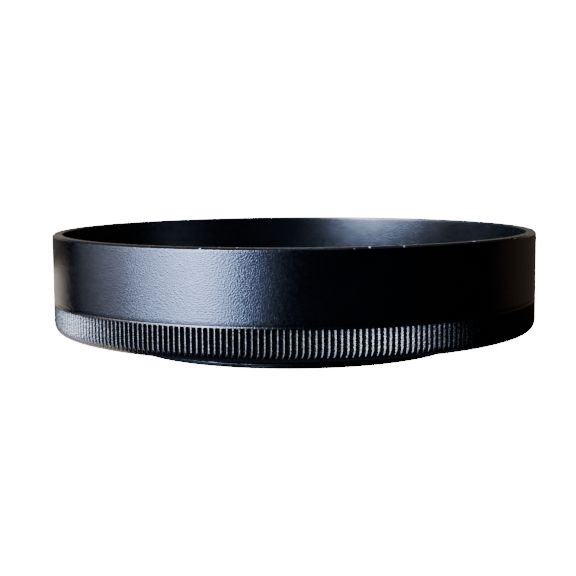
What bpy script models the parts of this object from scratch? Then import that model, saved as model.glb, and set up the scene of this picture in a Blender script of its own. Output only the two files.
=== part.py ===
"""Short round screw-in lens hood of black anodised aluminium.

The hood stands on its threaded collar, with the optical axis on +Z and the
open rim at the top.  Five turned pieces:

  knurled_mount_ring  fluted ring with the floor of the hood and a female
                      thread (67 x 0.75) for the barrel
  thread_collar       flanged sleeve with the male filter thread (49 x 0.75)
  collar_lock_ring    threaded ring with two spanner slots that clamps the
                      collar's flange into the floor
  baffle_ring         thin light baffle lying on the floor
  hood_barrel         plain tube with a male threaded spigot; it screws out
                      of the mount ring

Threads are drawn as plain rings of the right pitch and depth.
All sizes below are in millimetres; the scene is in metres.
"""

import math

import bmesh
import bpy

MM = 0.001
GAP = 0.05                  # between faces that meet

# ---- overall -------------------------------------------------------------
R_OUT = 36.0                # barrel and knurl crests
Z_RIM = 17.0
Z_SEAM = 7.3                # top of the mount ring
Z_BASE = 2.75               # underside of the mount ring
SEGMENTS = 94               # facets round a plain piece

# ---- barrel --------------------------------------------------------------
BARREL_WALL = 1.5
RIM_CHAMFER = 0.18
SEAM_CHAMFER = 0.06
LIP_TOP = 8.6               # top of the inner lip above the spigot
SPIGOT_BORE_R = 31.5
SPIGOT_CREST_R = 33.2
SPIGOT_ROOT_R = 32.8
PITCH = 0.75

# ---- mount ring ----------------------------------------------------------
FLUTES = 282                # one every 0.8 mm round the ring
FLUTE_W = 0.68              # a 90 degree V, half as deep as it is wide
FLUTE_DEPTH = FLUTE_W / 2.0
FLUTE_TOP = 7.1             # where the flutes begin below the seam
FLUTE_FULL = 6.85
ROUND_Z = 4.4               # the lower edge starts to round off here
ROUND_IN = 1.3              # how far in the rounding comes
ROUND_POWER = 0.85          # a little fuller than an ellipse
BOX_CREST_R = 33.3          # female thread, crest and root
BOX_ROOT_R = 33.7
FLOOR_TOP = 4.6
COUNTERBORE_R = 28.1
LEDGE_TOP = 3.4
FLOOR_BORE_R = 24.7

# ---- collar --------------------------------------------------------------
COLLAR_CREST_R = 24.5
COLLAR_ROOT_R = 24.05
COLLAR_BORE_R = 23.2
FLANGE_R = 27.4
FLANGE_T = 0.5

# ---- lock ring -----------------------------------------------------------
LOCK_R = 28.0
LOCK_BORE_R = 25.6
LOCK_T = 0.55
SLOT_W = 1.2
SLOT_DEPTH = 0.3

# ---- baffle --------------------------------------------------------------
BAFFLE_R = 32.9
BAFFLE_BORE_R = 25.2
BAFFLE_T = 0.35


def clear_scene():
    for ob in list(bpy.data.objects):
        bpy.data.objects.remove(ob, do_unlink=True)


def anodised(name, colour, roughness, metallic):
    mat = bpy.data.materials.new(name)
    mat.use_nodes = True
    bsdf = mat.node_tree.nodes["Principled BSDF"]
    bsdf.inputs["Base Color"].default_value = (*colour, 1.0)
    bsdf.inputs["Roughness"].default_value = roughness
    bsdf.inputs["Metallic"].default_value = metallic
    return mat


def finish(name, bm, mat, angle=25.0):
    bmesh.ops.recalc_face_normals(bm, faces=bm.faces)
    mesh = bpy.data.meshes.new(name)
    bm.to_mesh(mesh)
    bm.free()
    mesh.shade_smooth()
    mesh.set_sharp_from_angle(angle=math.radians(angle))
    ob = bpy.data.objects.new(name, mesh)
    bpy.context.scene.collection.objects.link(ob)
    mesh.materials.append(mat)
    return ob


def ring_of_verts(bm, r, z, count=SEGMENTS):
    verts = []
    for i in range(count):
        a = 2.0 * math.pi * i / count
        verts.append(bm.verts.new((r * math.cos(a) * MM, r * math.sin(a) * MM, z * MM)))
    return verts


def join_rings(bm, upper, lower):
    """Quads between two rings with the same number of points."""
    n = len(upper)
    for i in range(n):
        j = (i + 1) % n
        bm.faces.new((upper[i], lower[i], lower[j], upper[j]))


def turned(name, profile, mat):
    """A closed (radius, height) outline turned about the axis."""
    bm = bmesh.new()
    rings = [ring_of_verts(bm, r, z) for r, z in profile]
    for k, ring in enumerate(rings):
        join_rings(bm, ring, rings[(k + 1) % len(rings)])
    return finish(name, bm, mat)


def thread_rings(z_from, z_to, crest, root, pitch=PITCH):
    """Outline of V-grooves from z_from to z_to, starting and ending on a crest."""
    step = -1.0 if z_to < z_from else 1.0
    count = int(abs(z_to - z_from) / pitch)
    margin = (abs(z_to - z_from) - count * pitch) / 2.0
    flat = pitch / 8.0
    out = []
    for k in range(count):
        z = z_from + step * (margin + k * pitch)
        out.append((crest, z + step * flat))
        out.append((root, z + step * (pitch / 2.0)))
        out.append((crest, z + step * (pitch - flat)))
    return out


def lower_round(u):
    """Rounded lower edge of the mount ring, u from 0 (top) to 1 (underside)."""
    a = u * math.pi / 2.0
    r = R_OUT - ROUND_IN + ROUND_IN * max(math.cos(a), 0.0) ** ROUND_POWER
    z = ROUND_Z - (ROUND_Z - Z_BASE) * math.sin(a) ** ROUND_POWER
    return r, z


def make_barrel(mat):
    z0 = Z_SEAM + GAP
    r_in = R_OUT - BARREL_WALL
    c = RIM_CHAMFER
    spigot_end = FLOOR_TOP + GAP + BAFFLE_T + GAP
    profile = [
        (R_OUT - c, Z_RIM),
        (R_OUT, Z_RIM - c),
        (R_OUT, z0 + SEAM_CHAMFER),
        (R_OUT - SEAM_CHAMFER, z0),
        (SPIGOT_CREST_R - 0.45, z0),
        (SPIGOT_CREST_R - 0.45, z0 - 0.2),
        (SPIGOT_CREST_R, z0 - 0.35),
    ]
    profile += thread_rings(z0 - 0.35, spigot_end + 0.15, SPIGOT_CREST_R, SPIGOT_ROOT_R)
    profile += [
        (SPIGOT_CREST_R, spigot_end + 0.15),
        (SPIGOT_CREST_R - 0.15, spigot_end),
        (SPIGOT_BORE_R, spigot_end),
        (SPIGOT_BORE_R, LIP_TOP - 0.15),
        (SPIGOT_BORE_R + 0.15, LIP_TOP),
        (r_in - 0.25, LIP_TOP),
        (r_in, LIP_TOP + 0.25),
        (r_in, Z_RIM - c),
        (r_in + c, Z_RIM),
    ]
    return turned("hood_barrel", profile, mat)


def make_mount_ring(mat):
    """The floor and female thread are turned; the flutes are cut between them.

    Each flute is a 90 degree V with a flat land beside it, so a fluted ring
    has three points a flute: both edges of the V and its bottom."""
    bm = bmesh.new()
    step = 2.0 * math.pi / FLUTES
    half_land = (step - FLUTE_W / R_OUT) / 2.0
    fine_count = 3 * FLUTES
    ratio = fine_count // SEGMENTS

    def fluted_ring(z, r_land, r_bottom):
        verts = []
        for k in range(FLUTES):
            for a, r in ((k * step + half_land, r_land),
                         ((k + 0.5) * step, r_bottom),
                         ((k + 1) * step - half_land, r_land)):
                verts.append(bm.verts.new((r * math.cos(a) * MM, r * math.sin(a) * MM, z * MM)))
        return verts

    def fan(coarse, fine, coarse_above):
        """Triangles between a plain ring and a fluted one. Plain point i lies
        on the land between fluted points ratio*i-1 and ratio*i."""
        n = len(coarse)
        half = ratio // 2
        for i in range(n):
            j = (i + 1) % n
            first = ratio * i - 1
            tris = []
            for k in range(ratio):
                a = fine[(first + k) % fine_count]
                b = fine[(first + k + 1) % fine_count]
                tris.append((coarse[i] if k <= half else coarse[j], a, b))
            tris.append((coarse[i], fine[(first + half + 1) % fine_count], coarse[j]))
            for tri in tris:
                bm.faces.new(tri if coarse_above else tri[::-1])

    # the rounding reaches the bottom of the flutes at this point
    r_bottom = R_OUT - FLUTE_DEPTH
    u_end = 0.0
    while lower_round(u_end)[0] > r_bottom:
        u_end += 0.001
    r_e, z_e = lower_round(u_end)

    seam_land = ring_of_verts(bm, R_OUT, FLUTE_TOP + 0.12)
    flute_rings = [
        fluted_ring(FLUTE_TOP, R_OUT, R_OUT),
        fluted_ring(FLUTE_FULL, R_OUT, r_bottom),
        fluted_ring(ROUND_Z, R_OUT, r_bottom),
        fluted_ring(z_e, r_e, r_e),
    ]
    r_b, z_b = lower_round(u_end + (1.0 - u_end) / 3.0)
    plain_below = ring_of_verts(bm, r_b, z_b)
    fan(seam_land, flute_rings[0], True)
    for upper, lower in zip(flute_rings, flute_rings[1:]):
        join_rings(bm, upper, lower)
    fan(plain_below, flute_rings[-1], False)

    rest = [lower_round(u_end + (1.0 - u_end) * k / 3.0) for k in (2, 3)]
    rest += [
        (FLOOR_BORE_R + 0.15, Z_BASE),
        (FLOOR_BORE_R, Z_BASE + 0.15),
        (FLOOR_BORE_R, LEDGE_TOP),
        (COUNTERBORE_R, LEDGE_TOP),
        (COUNTERBORE_R, FLOOR_TOP),
        (BOX_CREST_R, FLOOR_TOP),
    ]
    rest += thread_rings(FLOOR_TOP + 0.35, Z_SEAM - 0.25, BOX_CREST_R, BOX_ROOT_R)
    rest += [
        (BOX_CREST_R, Z_SEAM - 0.2),
        (BOX_CREST_R + 0.2, Z_SEAM),
        (R_OUT - SEAM_CHAMFER, Z_SEAM),
        (R_OUT, Z_SEAM - SEAM_CHAMFER),
    ]
    rings = [plain_below] + [ring_of_verts(bm, r, z) for r, z in rest] + [seam_land]
    for upper, lower in zip(rings, rings[1:]):
        join_rings(bm, upper, lower)
    return finish("knurled_mount_ring", bm, mat)


def make_collar(mat):
    z0 = LEDGE_TOP + GAP
    profile = [
        (FLANGE_R, z0 + FLANGE_T),
        (FLANGE_R, z0),
        (COLLAR_ROOT_R, z0),
        (COLLAR_ROOT_R, Z_BASE - 0.25),
        (COLLAR_CREST_R, Z_BASE - 0.4),
    ]
    profile += thread_rings(Z_BASE - 0.4, 0.1, COLLAR_CREST_R, COLLAR_ROOT_R)
    profile += [
        (COLLAR_CREST_R, 0.1),
        (COLLAR_CREST_R - 0.1, 0.0),
        (COLLAR_BORE_R + 0.2, 0.0),
        (COLLAR_BORE_R, 0.2),
        (COLLAR_BORE_R, z0 + FLANGE_T - 0.2),
        (COLLAR_BORE_R + 0.2, z0 + FLANGE_T),
    ]
    return turned("thread_collar", profile, mat)


def make_lock_ring(mat):
    z0 = LEDGE_TOP + GAP + FLANGE_T + GAP
    z1 = z0 + LOCK_T
    ring = turned("collar_lock_ring", [
        (LOCK_R - 0.12, z1),
        (LOCK_R, z1 - 0.12),
        (LOCK_R, z0 + 0.12),
        (LOCK_R - 0.12, z0),
        (LOCK_BORE_R, z0),
        (LOCK_BORE_R, z1),
    ], mat)

    # one bar across the ring cuts both spanner slots
    bm = bmesh.new()
    bmesh.ops.create_cube(bm, size=1.0)
    size = (2.2 * LOCK_R * MM, SLOT_W * MM, 1.0 * MM)
    for v in bm.verts:
        v.co.x *= size[0]
        v.co.y *= size[1]
        v.co.z = v.co.z * size[2] + (z1 - SLOT_DEPTH + 0.5) * MM
    mesh = bpy.data.meshes.new("slot_cutter")
    bm.to_mesh(mesh)
    bm.free()
    cutter = bpy.data.objects.new("slot_cutter", mesh)
    bpy.context.scene.collection.objects.link(cutter)
    cutter.hide_render = True
    cutter.display_type = 'WIRE'
    cut = ring.modifiers.new("spanner_slots", 'BOOLEAN')
    cut.operation = 'DIFFERENCE'
    cut.solver = 'EXACT'
    cut.object = cutter
    return ring


def make_baffle(mat):
    z0 = FLOOR_TOP + GAP
    z1 = z0 + BAFFLE_T
    return turned("baffle_ring", [
        (BAFFLE_R, z1),
        (BAFFLE_R, z0),
        (BAFFLE_BORE_R, z0),
        (BAFFLE_BORE_R + 0.25, z1),
    ], mat)


def main():
    clear_scene()
    satin = anodised("black_anodised_blasted", (0.012, 0.012, 0.014), 0.38, 0.6)
    fluted = anodised("black_anodised_knurl", (0.010, 0.010, 0.012), 0.28, 0.6)
    threads = anodised("black_anodised_thread", (0.014, 0.014, 0.016), 0.35, 0.6)
    lock = anodised("black_anodised_lock", (0.016, 0.016, 0.018), 0.45, 0.6)
    matt = anodised("matt_black_baffle", (0.006, 0.006, 0.006), 0.85, 0.0)
    make_mount_ring(fluted)
    make_collar(threads)
    make_lock_ring(lock)
    make_baffle(matt)
    make_barrel(satin)


main()
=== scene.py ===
"""Looks for the short screw-in lens hood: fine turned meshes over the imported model,
black anodised materials, plain pale stage, soft window light from the left front."""
import math
import random

import bpy
import numpy as np
from mathutils import Matrix, Vector


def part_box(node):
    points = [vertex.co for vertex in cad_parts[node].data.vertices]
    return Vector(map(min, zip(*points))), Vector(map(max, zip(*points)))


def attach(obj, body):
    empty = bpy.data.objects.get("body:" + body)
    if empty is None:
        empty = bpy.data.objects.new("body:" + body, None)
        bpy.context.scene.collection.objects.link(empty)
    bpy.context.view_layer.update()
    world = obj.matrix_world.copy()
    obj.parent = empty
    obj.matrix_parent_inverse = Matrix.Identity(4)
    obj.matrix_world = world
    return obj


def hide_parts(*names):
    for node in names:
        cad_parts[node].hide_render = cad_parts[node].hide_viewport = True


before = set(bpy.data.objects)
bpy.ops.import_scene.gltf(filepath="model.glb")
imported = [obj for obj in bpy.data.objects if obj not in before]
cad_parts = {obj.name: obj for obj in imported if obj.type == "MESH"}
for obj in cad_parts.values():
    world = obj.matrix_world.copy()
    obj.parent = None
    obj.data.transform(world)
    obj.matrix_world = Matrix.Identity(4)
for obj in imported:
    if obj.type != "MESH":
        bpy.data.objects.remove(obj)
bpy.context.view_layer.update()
MM = 0.001

# ------------------------------------------------------------------ sizes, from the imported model
lo_r, hi_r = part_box("knurled_mount_ring")
lo_b, hi_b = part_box("hood_barrel")
lo_c, hi_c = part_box("thread_collar")
lo_l, hi_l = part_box("collar_lock_ring")
lo_f, hi_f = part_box("baffle_ring")
R_OUT = hi_b.x / MM              # 36
Z_RIM = hi_b.z / MM              # 17
Z_BASE = lo_r.z / MM             # 2.75
Z_SEAM = hi_r.z / MM             # 7.3
SPIGOT_END = lo_b.z / MM         # 5.05
PITCH = 0.75


# ------------------------------------------------------------------ mesh helpers
def make_object(name, verts, faces, mats, mat_index=None, sharp=None):
    mesh = bpy.data.meshes.new(name)
    mesh.from_pydata([tuple(v) for v in verts], [], faces)
    for m in mats:
        mesh.materials.append(m)
    if mat_index is not None:
        mesh.polygons.foreach_set("material_index", np.asarray(mat_index, dtype=np.int32))
    mesh.update()
    mesh.shade_smooth()
    if sharp:
        mesh.set_sharp_from_angle(angle=math.radians(sharp))
    ob = bpy.data.objects.new(name, mesh)
    bpy.context.scene.collection.objects.link(ob)
    return ob


def arc(cx, cz, r, a0, a1, n):
    """Points on a small round, centre (cx, cz), angles in degrees."""
    return [(cx + r * math.cos(math.radians(a0 + (a1 - a0) * k / n)),
             cz + r * math.sin(math.radians(a0 + (a1 - a0) * k / n))) for k in range(n + 1)]


def thread_depth(phase, flat=0.14):
    """0 on the crest and 1 in the root of a 60 degree thread, phase in turns."""
    t = abs((phase % 1.0) - 0.5) * 2.0        # 0 in the root, 1 on the crest
    t = min(max((t - 0.10) / (1.0 - 0.10 - flat), 0.0), 1.0)
    t = t * t * (3 - 2 * t) * 0.35 + t * 0.65
    return 1.0 - t


def lathe(name, rows, segs, mats, row_mat=None, sharp=None):
    """rows: closed outline. A row is (r, z) or a function of the angle giving (r, z)."""
    n = len(rows)
    ang = [2 * math.pi * i / segs for i in range(segs)]
    verts = []
    for row in rows:
        for a in ang:
            r, z = row(a) if callable(row) else row
            verts.append((r * math.cos(a) * MM, r * math.sin(a) * MM, z * MM))
    faces, mi = [], []
    for j in range(n):
        k = (j + 1) % n
        for i in range(segs):
            i2 = (i + 1) % segs
            faces.append((j * segs + i, k * segs + i, k * segs + i2, j * segs + i2))
            mi.append(row_mat[j] if row_mat else 0)
    return make_object(name, verts, faces, mats, mi, sharp)


def helix_rows(z_from, z_to, crest, root, hand=1.0, step=0.05, run=0.35, inward=False):
    """Rows down a helical thread, faded in and out over run at both ends."""
    n = int(round(abs(z_to - z_from) / step))
    rows = []
    for k in range(n + 1):
        z = z_from + (z_to - z_from) * k / n
        edge = min(abs(z - z_from), abs(z - z_to)) / run
        fade = min(max(edge, 0.0), 1.0)

        def row(a, z=z, fade=fade):
            d = thread_depth(z / PITCH - hand * a / (2 * math.pi))
            return (crest + (root - crest) * d * fade, z)
        rows.append(row)
    return rows


# ------------------------------------------------------------------ materials
def nodes_of(mat):
    mat.use_nodes = True
    nt = mat.node_tree
    return nt, nt.nodes, nt.links, nt.nodes["Principled BSDF"]


def noise(nt, coord, scale, detail=2.0, rough=0.5):
    n = nt.nodes.new("ShaderNodeTexNoise")
    n.inputs["Scale"].default_value = scale
    n.inputs["Detail"].default_value = detail
    n.inputs["Roughness"].default_value = rough
    nt.links.new(coord, n.inputs["Vector"])
    return n.outputs["Fac"]


def ramp(nt, fac, stops):
    r = nt.nodes.new("ShaderNodeValToRGB")
    el = r.color_ramp.elements
    while len(el) > 1:
        el.remove(el[-1])
    el[0].position = stops[0][0]
    el[0].color = (*stops[0][1], 1.0) if len(stops[0][1]) == 3 else stops[0][1]
    for p, c in stops[1:]:
        e = el.new(p)
        e.color = (*c, 1.0)
    nt.links.new(fac, r.inputs["Fac"])
    return r.outputs["Color"]


def maprange(nt, value, a, b, c, d):
    m = nt.nodes.new("ShaderNodeMapRange")
    m.inputs["From Min"].default_value = a
    m.inputs["From Max"].default_value = b
    m.inputs["To Min"].default_value = c
    m.inputs["To Max"].default_value = d
    nt.links.new(value, m.inputs["Value"])
    return m.outputs["Result"]


def bump(nt, height, distance, strength=1.0, normal=None):
    b = nt.nodes.new("ShaderNodeBump")
    b.inputs["Distance"].default_value = distance
    b.inputs["Strength"].default_value = strength
    nt.links.new(height, b.inputs["Height"])
    if normal is not None:
        nt.links.new(normal, b.inputs["Normal"])
    return b.outputs["Normal"]


def anodised(name, base, rough, grain_mm, grain_h, ior=1.5, mottle=0.01, speckle=0.0, dimple=0.0, cell=0.21, tint=None, chips=0.0):
    """Black anodised aluminium over a blasted or turned surface; tint, where given, paints a colour cast into the
    reflections.
    """
    mat = bpy.data.materials.new(name)
    nt, nodes, links, bsdf = nodes_of(mat)
    tc = nodes.new("ShaderNodeTexCoord").outputs["Object"]
    bsdf.inputs["Metallic"].default_value = 0.0
    bsdf.inputs["IOR"].default_value = ior
    # tint sets the specular tint: a painted colour cast on the reflections, not a colour of the anodising
    if tint:
        bsdf.inputs["Specular Tint"].default_value = (*tint, 1.0)
    cloud = noise(nt, tc, 1.0 / 0.006, 3.0)
    lo = tuple(c * 0.7 for c in base)
    hi = tuple(c * 1.35 for c in base)
    stops = [(0.3, lo), (0.7, hi)]
    if chips:
        chip = noise(nt, tc, 1.0 / 0.0006, 1.0, 0.5)
        mix = nodes.new("ShaderNodeMix")
        mix.data_type = 'RGBA'
        links.new(maprange(nt, chip, chips, chips + 0.02, 0.0, 1.0), mix.inputs["Factor"])
        links.new(ramp(nt, cloud, stops), mix.inputs["A"])
        mix.inputs["B"].default_value = (0.45, 0.44, 0.42, 1.0)
        links.new(mix.outputs["Result"], bsdf.inputs["Base Color"])
    else:
        links.new(ramp(nt, cloud, stops), bsdf.inputs["Base Color"])
    cloud2 = noise(nt, tc, 1.0 / 0.0045, 2.0)
    r_out = maprange(nt, cloud2, 0.3, 0.7, rough - mottle, rough + mottle)
    if speckle:
        dots = noise(nt, tc, 1.0 / (grain_mm * 1.1 * MM), 1.0, 0.5)
        add_n = nt.nodes.new("ShaderNodeMath")
        add_n.operation = 'ADD'
        links.new(r_out, add_n.inputs[0])
        links.new(maprange(nt, dots, 0.35, 0.65, -speckle, speckle), add_n.inputs[1])
        r_out = add_n.outputs[0]
    links.new(r_out, bsdf.inputs["Roughness"])
    grain = noise(nt, tc, 1.0 / (grain_mm * MM), 1.5, 0.5)
    nrm = bump(nt, grain, grain_h * MM)
    if dimple:
        vor = nt.nodes.new("ShaderNodeTexVoronoi")
        vor.feature = 'F1'
        vor.inputs["Scale"].default_value = 1.0 / (cell * MM)
        links.new(tc, vor.inputs["Vector"])
        nrm = bump(nt, vor.outputs["Distance"], dimple * MM, normal=nrm)
    links.new(nrm, bsdf.inputs["Normal"])
    return mat


# the cool blue specular tint on the barrel paints the window light's colour into its highlight: a painted reflection
# colour
M_BARREL = anodised("anodised_blasted", (0.0004, 0.0004, 0.0005), 0.12, 0.15, 0.014, ior=1.62, speckle=0.06, dimple=0.018, cell=0.18, tint=(0.88, 0.89, 1.0))
M_INNER = anodised("anodised_inner", (0.0004, 0.0004, 0.0005), 0.20, 0.15, 0.014, ior=1.64)
# the rim's brownish base colour, about ten times the barrel's, is painted warm light from above on the rim face; the
# grey chips are worn anodising
M_RIM = anodised("anodised_rim", (0.0040, 0.0034, 0.0030), 0.27, 0.30, 0.010, ior=1.55, chips=0.745)
# the warm specular tint on the knurl paints a redder cast into its reflections: a painted reflection colour, not a
# colour of black anodising
M_KNURL = anodised("anodised_knurl", (0.0005, 0.0005, 0.0006), 0.15, 0.22, 0.020, ior=1.88, speckle=0.06, dimple=0.012, tint=(1.0, 0.90, 0.78))
M_THREAD = anodised("anodised_thread", (0.0016, 0.0016, 0.0018), 0.26, 0.20, 0.008, ior=1.6)
M_LOCK = anodised("anodised_lock", (0.0020, 0.0020, 0.0022), 0.35, 0.25, 0.010, ior=1.55)
M_MATT = anodised("matt_black_paint", (0.0015, 0.0015, 0.0015), 0.66, 0.15, 0.03, ior=1.22)

# ------------------------------------------------------------------ barrel
WALL = 1.5
Z0 = Z_SEAM + 0.03
R_IN = R_OUT - WALL
LIP = 8.6
BORE = 31.5
CREST, ROOT = 33.2, 32.8
rim_e = 0.16
rows = []
mat_rows = []


def add(points, m):
    for p in points:
        rows.append(p)
        mat_rows.append(m)


edge = arc(R_OUT - 0.24, 0.0, 0.24, 42, 0, 8)
chamfer = 0.21
flat_r = edge[0][0] - chamfer
add([(flat_r - 0.02, Z_RIM)], 2)
add([(flat_r, Z_RIM - 0.006)], 2)
add([(r, z - edge[0][1] + Z_RIM - 0.006 - chamfer) for r, z in edge], 0)
add([(R_OUT, Z_RIM - 0.6)], 0)
add([(R_OUT, z) for z in (15.0, 13.0, 11.0, 9.0)], 0)
add([(R_OUT, Z_SEAM + 0.55)], 0)
add(arc(R_OUT - 0.025, Z0 + 0.025, 0.025, 0, -90, 3), 0)
add([(CREST - 0.45, Z0), (CREST - 0.45, Z0 - 0.22)], 1)
add(helix_rows(Z0 - 0.25, SPIGOT_END + 0.12, CREST, ROOT), 1)
add([(CREST - 0.12, SPIGOT_END), (BORE + 0.12, SPIGOT_END)], 1)
add(arc(BORE + 0.1, SPIGOT_END + 0.1, 0.1, 270, 180, 3), 1)
add([(BORE, 6.8)], 1)
add(arc(BORE + 0.15, LIP - 0.15, 0.15, 180, 90, 4), 1)
add(arc(R_IN - 0.35, LIP + 0.35, 0.35, -90, 0, 6), 1)
add([(R_IN, z) for z in (10.5, 12.5, 14.5)], 1)
add([(R_IN, Z_RIM - 0.4)], 1)
add(arc(R_IN + rim_e, Z_RIM - rim_e, rim_e, 180, 90, 5), 2)
mat_rows[-1] = 2
barrel = lathe("barrel_shell", rows, 512, [M_BARREL, M_INNER, M_RIM], mat_rows, sharp=40)
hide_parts("hood_barrel")
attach(barrel, "barrel")

# ------------------------------------------------------------------ knurled mount ring
FLUTES = 282
FL_W = 0.71
FL_D = 0.32
FL_TOP = Z_SEAM - 0.2
FL_R = 0.30                       # how far below the top the flutes are at full width
ROUND_Z, ROUND_IN, ROUND_POWER = 4.4, 1.3, 0.85
S = [-0.401, -0.378, -0.352, -0.325, -0.285, -0.20, -0.10, 0.0, 0.10, 0.20, 0.285, 0.325, 0.352, 0.378]
NS = len(S)
rng = random.Random(282)
jit_s = [rng.uniform(-0.006, 0.006) for _ in range(FLUTES)]
jit_w = [rng.uniform(-0.006, 0.006) for _ in range(FLUTES)]


def lower_round(u):
    a = u * math.pi / 2
    return (R_OUT - ROUND_IN + ROUND_IN * max(math.cos(a), 0.0) ** ROUND_POWER,
            ROUND_Z - (ROUND_Z - Z_BASE) * math.sin(a) ** ROUND_POWER)


def profile_at(z):
    """Radius of the plain outline of the ring at height z."""
    if z >= ROUND_Z:
        e = Z_SEAM - z
        return R_OUT - (0.06 - e if e < 0.06 else 0.0)
    s = ((ROUND_Z - z) / (ROUND_Z - Z_BASE)) ** (1 / ROUND_POWER)
    return R_OUT - ROUND_IN + ROUND_IN * max(math.sqrt(max(1 - s * s, 0.0)), 0.0) ** ROUND_POWER


def flute_rows():
    zs = [FL_TOP + 0.03]
    zs += [FL_TOP - FL_R * (1 - math.cos(math.radians(t))) for t in (0, 14, 28, 42, 57, 73, 90)]
    zs += [6.0, 4.55]
    for k in range(10):
        zs.append(lower_round(0.03 + 0.67 * k / 9.0)[1])
    return zs


fine_z = flute_rows()
NF = FLUTES * NS
verts = []
faces = []
mats_idx = []
row_index = []
step_a = 2 * math.pi / FLUTES
for z in fine_z:
    start = len(verts)
    rp = profile_at(z)
    up = (z - (FL_TOP - FL_R)) / FL_R
    w_z = FL_W / 2 * (math.sqrt(max(1 - up * up, 0.0)) if up > 0 else 1.0)
    for k in range(FLUTES):
        w = w_z * (1 + jit_w[k] * 2)
        for s in S:
            a = (k + 0.5) * step_a + (s + (jit_s[k] if abs(s) < 0.39 else 0.0)) / R_OUT
            x = (w - abs(s)) / w if w > 0.004 else 0.0
            d = FL_D * (2.0 * w / FL_W) * x ** 1.3 if x > 0.0 else 0.0
            rg = R_OUT - d
            # the flute's floor runs straight down while the outline rounds away
            q = rg - rp
            r = 0.5 * (rg + rp - math.sqrt(q * q + 0.020 ** 2)) + 0.010 * min(1.0, math.exp(-abs(q) * 40.0))
            if q * q > 1.0:
                r = min(rg, rp)
            if z >= ROUND_Z:
                r = rg if rg < rp else rp
            verts.append((r * math.cos(a) * MM, r * math.sin(a) * MM, z * MM))
    row_index.append(start)
for j in range(len(fine_z) - 1):
    a0, b0 = row_index[j], row_index[j + 1]
    for i in range(NF):
        i2 = (i + 1) % NF
        faces.append((a0 + i, b0 + i, b0 + i2, a0 + i2))
        mats_idx.append(0)

# plain part of the ring, one point per flute, joined to the fluted part by fans
NP = FLUTES


def plain_row(r, z):
    start = len(verts)
    for i in range(NP):
        a = i * step_a
        rr, zz = r(a) if callable(r) else (r, z)
        verts.append((rr * math.cos(a) * MM, rr * math.sin(a) * MM, zz * MM))
    return start


def fan(plain, fine, plain_above):
    for i in range(NP):
        j = (i + 1) % NP
        first = i * NS                # fine point at s = -0.4, on the land's middle
        half = NS // 2
        for k in range(NS):
            a, b = fine + (first + k) % NF, fine + (first + k + 1) % NF
            p = plain + (i if k < half else j)
            tri = (p, a, b)
            faces.append(tri if plain_above else tri[::-1])
            mats_idx.append(0)
        tri = (plain + i, fine + (first + half) % NF, plain + j)
        faces.append(tri if plain_above else tri[::-1])
        mats_idx.append(0)


def band(a0, b0, m):
    for i in range(NP):
        i2 = (i + 1) % NP
        faces.append((a0 + i, b0 + i, b0 + i2, a0 + i2))
        mats_idx.append(m)


top_plain = plain_row(R_OUT, FL_TOP + 0.08)
fan(top_plain, row_index[0], True)
z_last = fine_z[-1]
u0 = 0.74
outline = [lower_round(u0 + (1 - u0) * k / 7.0) for k in range(8)]
low_rows = [(r, z, 0) for r, z in outline[:-1]]
low_rows += [(R_OUT - ROUND_IN, Z_BASE, 0)]
low_rows += [(R_OUT - ROUND_IN - 0.25, Z_BASE, 1), (30.0, Z_BASE, 1), (24.9, Z_BASE, 1), (24.7, Z_BASE + 0.15, 1),
             (24.7, 3.4, 1), (28.1, 3.4, 1), (28.1, 4.5, 1), (28.2, 4.6, 1), (33.3, 4.6, 1)]
prev = plain_row(low_rows[0][0], low_rows[0][1])
fan(prev, row_index[-1], False)
for r, z, m in low_rows[1:]:
    cur = plain_row(r, z)
    band(prev, cur, m)
    prev = cur
for row in helix_rows(4.75, Z_SEAM - 0.22, 33.3, 33.7, step=0.083):
    cur = plain_row(row, None)
    band(prev, cur, 1)
    prev = cur
for r, z in [(33.3, Z_SEAM - 0.18), (33.45, Z_SEAM), (34.5, Z_SEAM)] + arc(R_OUT - 0.08, Z_SEAM - 0.08, 0.08, 90, 0, 5):
    cur = plain_row(r, z)
    band(prev, cur, 1 if r < 35 else 0)
    prev = cur
band(prev, top_plain, 0)
ring = make_object("mount_ring", verts, faces, [M_KNURL, M_THREAD], mats_idx, sharp=40)
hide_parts("knurled_mount_ring")
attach(ring, "mount")

# ------------------------------------------------------------------ threaded collar
rows, mat_rows = [], []
zf = 3.45
add([(27.3, zf + 0.5), (27.4, zf + 0.4), (27.4, zf + 0.08), (27.32, zf), (24.05, zf), (24.05, Z_BASE - 0.15)], 0)
add(helix_rows(Z_BASE - 0.2, 0.12, 24.5, 24.05, run=0.2), 0)
add([(24.38, 0.0), (23.4, 0.0)], 0)
add(arc(23.4, 0.2, 0.2, 270, 180, 4), 0)
add([(23.2, 2.0), (23.2, zf + 0.3)], 0)
add(arc(23.4, zf + 0.3, 0.2, 180, 90, 4), 0)
collar = lathe("filter_thread_collar", rows, 384, [M_THREAD], mat_rows, sharp=40)
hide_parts("thread_collar")
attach(collar, "mount")

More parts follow.
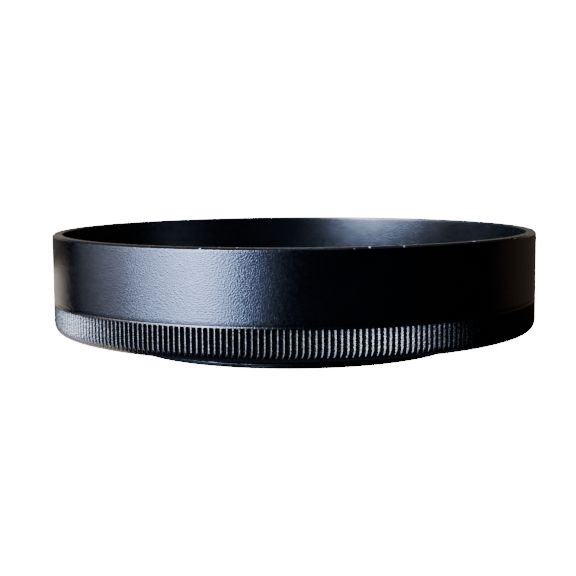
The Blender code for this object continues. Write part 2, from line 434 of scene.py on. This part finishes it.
# ------------------------------------------------------------------ lock ring
zl0, zl1 = lo_l.z / MM, hi_l.z / MM
rows, mat_rows = [], []
add([(27.88, zl1), (28.0, zl1 - 0.12), (28.0, zl0 + 0.12), (27.88, zl0), (25.6, zl0), (25.6, zl1 - 0.08), (25.68, zl1)], 0)
lock = lathe("lock_ring", rows, 256, [M_LOCK], mat_rows, sharp=30)
bpy.ops.mesh.primitive_cube_add(size=1.0, location=(0, 0, (zl1 - 0.3 + 0.5) * MM))
cutter = bpy.context.active_object
cutter.scale = (61.6 * MM, 1.2 * MM, 1.0 * MM)
bpy.context.view_layer.update()
mod = lock.modifiers.new("slots", 'BOOLEAN')
mod.operation = 'DIFFERENCE'
mod.solver = 'EXACT'
mod.object = cutter
bpy.context.view_layer.update()
dg = bpy.context.evaluated_depsgraph_get()
cut_mesh = bpy.data.meshes.new_from_object(lock.evaluated_get(dg))
lock.modifiers.clear()
lock.data = cut_mesh
bpy.data.objects.remove(cutter, do_unlink=True)
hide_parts("collar_lock_ring")
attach(lock, "mount")

# ------------------------------------------------------------------ baffle with fine anti-glare steps
zb0, zb1 = lo_f.z / MM, hi_f.z / MM
rows, mat_rows = [], []
add([(32.9, zb1 - 0.05), (32.9, zb0), (25.2, zb0), (25.2, zb0 + 0.05)], 0)
r = 25.45
add([(r, zb1)], 0)
while r < 31.4:
    add([(r + 0.10, zb1), (r + 0.12, zb1 - 0.12), (r + 0.46, zb1)], 0)
    r += 0.46
add([(32.85, zb1)], 0)
baffle = lathe("baffle_plate", rows, 256, [M_MATT], mat_rows, sharp=25)
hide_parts("baffle_ring")
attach(baffle, "baffle")

# ------------------------------------------------------------------ camera
R = 36.0 * MM
cam_f, cam_d, cam_h, pitch, yaw, roll = 1180.36, 4.96821, 0.31519, 0.11283, -0.00539, -0.00723
cy, sy, cp, sp = math.cos(yaw), math.sin(yaw), math.cos(pitch), math.sin(pitch)
fwd = Vector((sy * cp, cy * cp, -sp))
right = Vector((cy, -sy, 0.0))
up = right.cross(fwd)
cr, sr = math.cos(roll), math.sin(roll)
r2 = right * cr + up * sr
u2 = up * cr - right * sr
cam_data = bpy.data.cameras.new("camera")
cam_data.sensor_width = 36.0
cam_data.lens = 36.0 * cam_f / 576.0
cam_data.clip_start = 0.005
cam_data.clip_end = 50.0
cam = bpy.data.objects.new("camera", cam_data)
m = Matrix((r2, u2, -fwd)).transposed().to_4x4()
m.translation = Vector((0.0, -cam_d * R, Z_RIM * MM + cam_h * R))
cam.matrix_world = m
bpy.context.scene.collection.objects.link(cam)
bpy.context.scene.camera = cam


# ------------------------------------------------------------------ stage
def stage_material(name, strength, tint=(1.0, 1.0, 1.0)):
    mat = bpy.data.materials.new(name)
    mat.use_nodes = True
    nt = mat.node_tree
    bsdf = nt.nodes["Principled BSDF"]
    bsdf.inputs["Base Color"].default_value = (0.85, 0.85, 0.85, 1)
    bsdf.inputs["Roughness"].default_value = 0.9
    bsdf.inputs["Specular IOR Level"].default_value = 0.0
    bsdf.inputs["Emission Color"].default_value = (*tint, 1)
    bsdf.inputs["Emission Strength"].default_value = strength
    return mat


bpy.ops.mesh.primitive_circle_add(vertices=96, radius=3.0, fill_type='NGON', location=(0, 0, -0.00002))
floor = bpy.context.active_object
floor.name = "floor"
floor.data.materials.append(stage_material("pale_floor", 17.5))
bpy.ops.mesh.primitive_uv_sphere_add(segments=64, ring_count=32, radius=3.2, location=(0, 0, 0))
dome = bpy.context.active_object
dome.name = "backdrop"
dome.data.materials.append(stage_material("pale_backdrop", 17.5))
bpy.ops.mesh.primitive_circle_add(vertices=96, radius=0.037, fill_type='NGON', location=(0, 0, -0.00001))
spot = bpy.context.active_object
spot.name = "floor_under_part"
dark = bpy.data.materials.new("dark_patch")
dark.use_nodes = True
dark.node_tree.nodes["Principled BSDF"].inputs["Base Color"].default_value = (0.001, 0.001, 0.001, 1)
dark.node_tree.nodes["Principled BSDF"].inputs["Roughness"].default_value = 1.0
spot.data.materials.append(dark)
spot.visible_camera = False          # it only stops light from below, under the part
for o in (floor, dome):
    o.visible_glossy = False
    o.visible_diffuse = False
    o.visible_transmission = False
    o.visible_shadow = False


# ------------------------------------------------------------------ light
def area(name, azimuth, elevation, distance, width, height, power, colour):
    """azimuth 0 is towards the camera, and negative is to the left."""
    a, e = math.radians(azimuth), math.radians(elevation)
    pos = Vector((math.sin(a) * math.cos(e), -math.cos(a) * math.cos(e), math.sin(e))) * distance
    pos.z += 0.010
    ld = bpy.data.lights.new(name, 'AREA')
    ld.shape = 'RECTANGLE'
    ld.size, ld.size_y = width, height
    ld.energy = power
    ld.color = colour
    ob = bpy.data.objects.new(name, ld)
    ob.location = pos
    ob.rotation_euler = (Vector((0, 0, 0.010)) - pos).to_track_quat('-Z', 'Y').to_euler()
    ob.visible_camera = False
    bpy.context.scene.collection.objects.link(ob)
    return ob


# a tall window on the left front: brightest above the horizon and fading out to the far left
SKY, PALE = (0.50, 0.655, 1.0), (0.70, 0.79, 1.0)
WINDOW = [(-16, 0.5, 0.030, SKY), (-26, 0.5, 0.19, SKY), (-36, 0.5, 0.88, SKY), (-46, 0.5, 1.05, SKY),
          (-61, 1.0, 0.49, SKY), (-81, 1.0, 0.088, PALE), (-101, 1.0, 0.026, PALE)]
for i, (az, part, level, colour) in enumerate(WINDOW):
    area("window_low_%d" % i, az, -16, 1.2, 0.425 * part, 0.42, 6.0 * level * part, colour)
    area("window_mid_%d" % i, az, 7, 1.2, 0.425 * part, 0.55, 39.0 * level * part, colour)
    area("window_high_%d" % i, az, 31, 1.2, 0.425 * part, 0.45, 50.0 * level * part, colour)
area("warm_right", 132, 4, 1.2, 1.2, 0.6, 0.15, (1.0, 0.74, 0.58))
area("warm_left_far", -152, 4, 1.2, 0.7, 0.6, 0.16, (1.0, 0.86, 0.76))
area("warm_behind", 180, 12, 1.2, 1.6, 0.3, 0.5, (1.0, 0.84, 0.70))
near = area("warm_left", -152, 4, 0.06, 0.034, 0.015, 0.0011, (1.0, 0.90, 0.82))
near.location = (-0.053, 0.028, 0.0010)
near.rotation_euler = Vector((0.438, -0.899, 0.0)).to_track_quat('-Z', 'Y').to_euler()
# a soft box close behind and a small one overhead: they light the back and the inside
back = area("back_box", 180, 0, 0.11, 0.066, 0.085, 0.14, (0.66, 0.79, 1.0))
back.location = (0.0, 0.105, -0.0295)
back.rotation_euler = Vector((0.0, -1.0, 0.0)).to_track_quat('-Z', 'Y').to_euler()
over = area("overhead_box", 180, 89, 0.13, 0.05, 0.05, 0.07, (0.75, 0.85, 1.0))
over.location = (0.0, 0.055, 0.14)
over.rotation_euler = Vector((0.0, -0.045, -0.135)).to_track_quat('-Z', 'Y').to_euler()
low = area("warm_low_left", -90, 0, 0.06, 0.012, 0.034, 0.0015, (1.0, 0.88, 0.80))
low.location = (-0.0335, -0.012, 0.0002)
low.rotation_euler = (math.pi, 0.0, math.radians(20))
world = bpy.data.worlds.new("world")
bpy.context.scene.world = world
world.use_nodes = True
world.node_tree.nodes["Background"].inputs["Color"].default_value = (1, 1, 1, 1)
world.node_tree.nodes["Background"].inputs["Strength"].default_value = 0.001

bpy.context.view_layer.update()
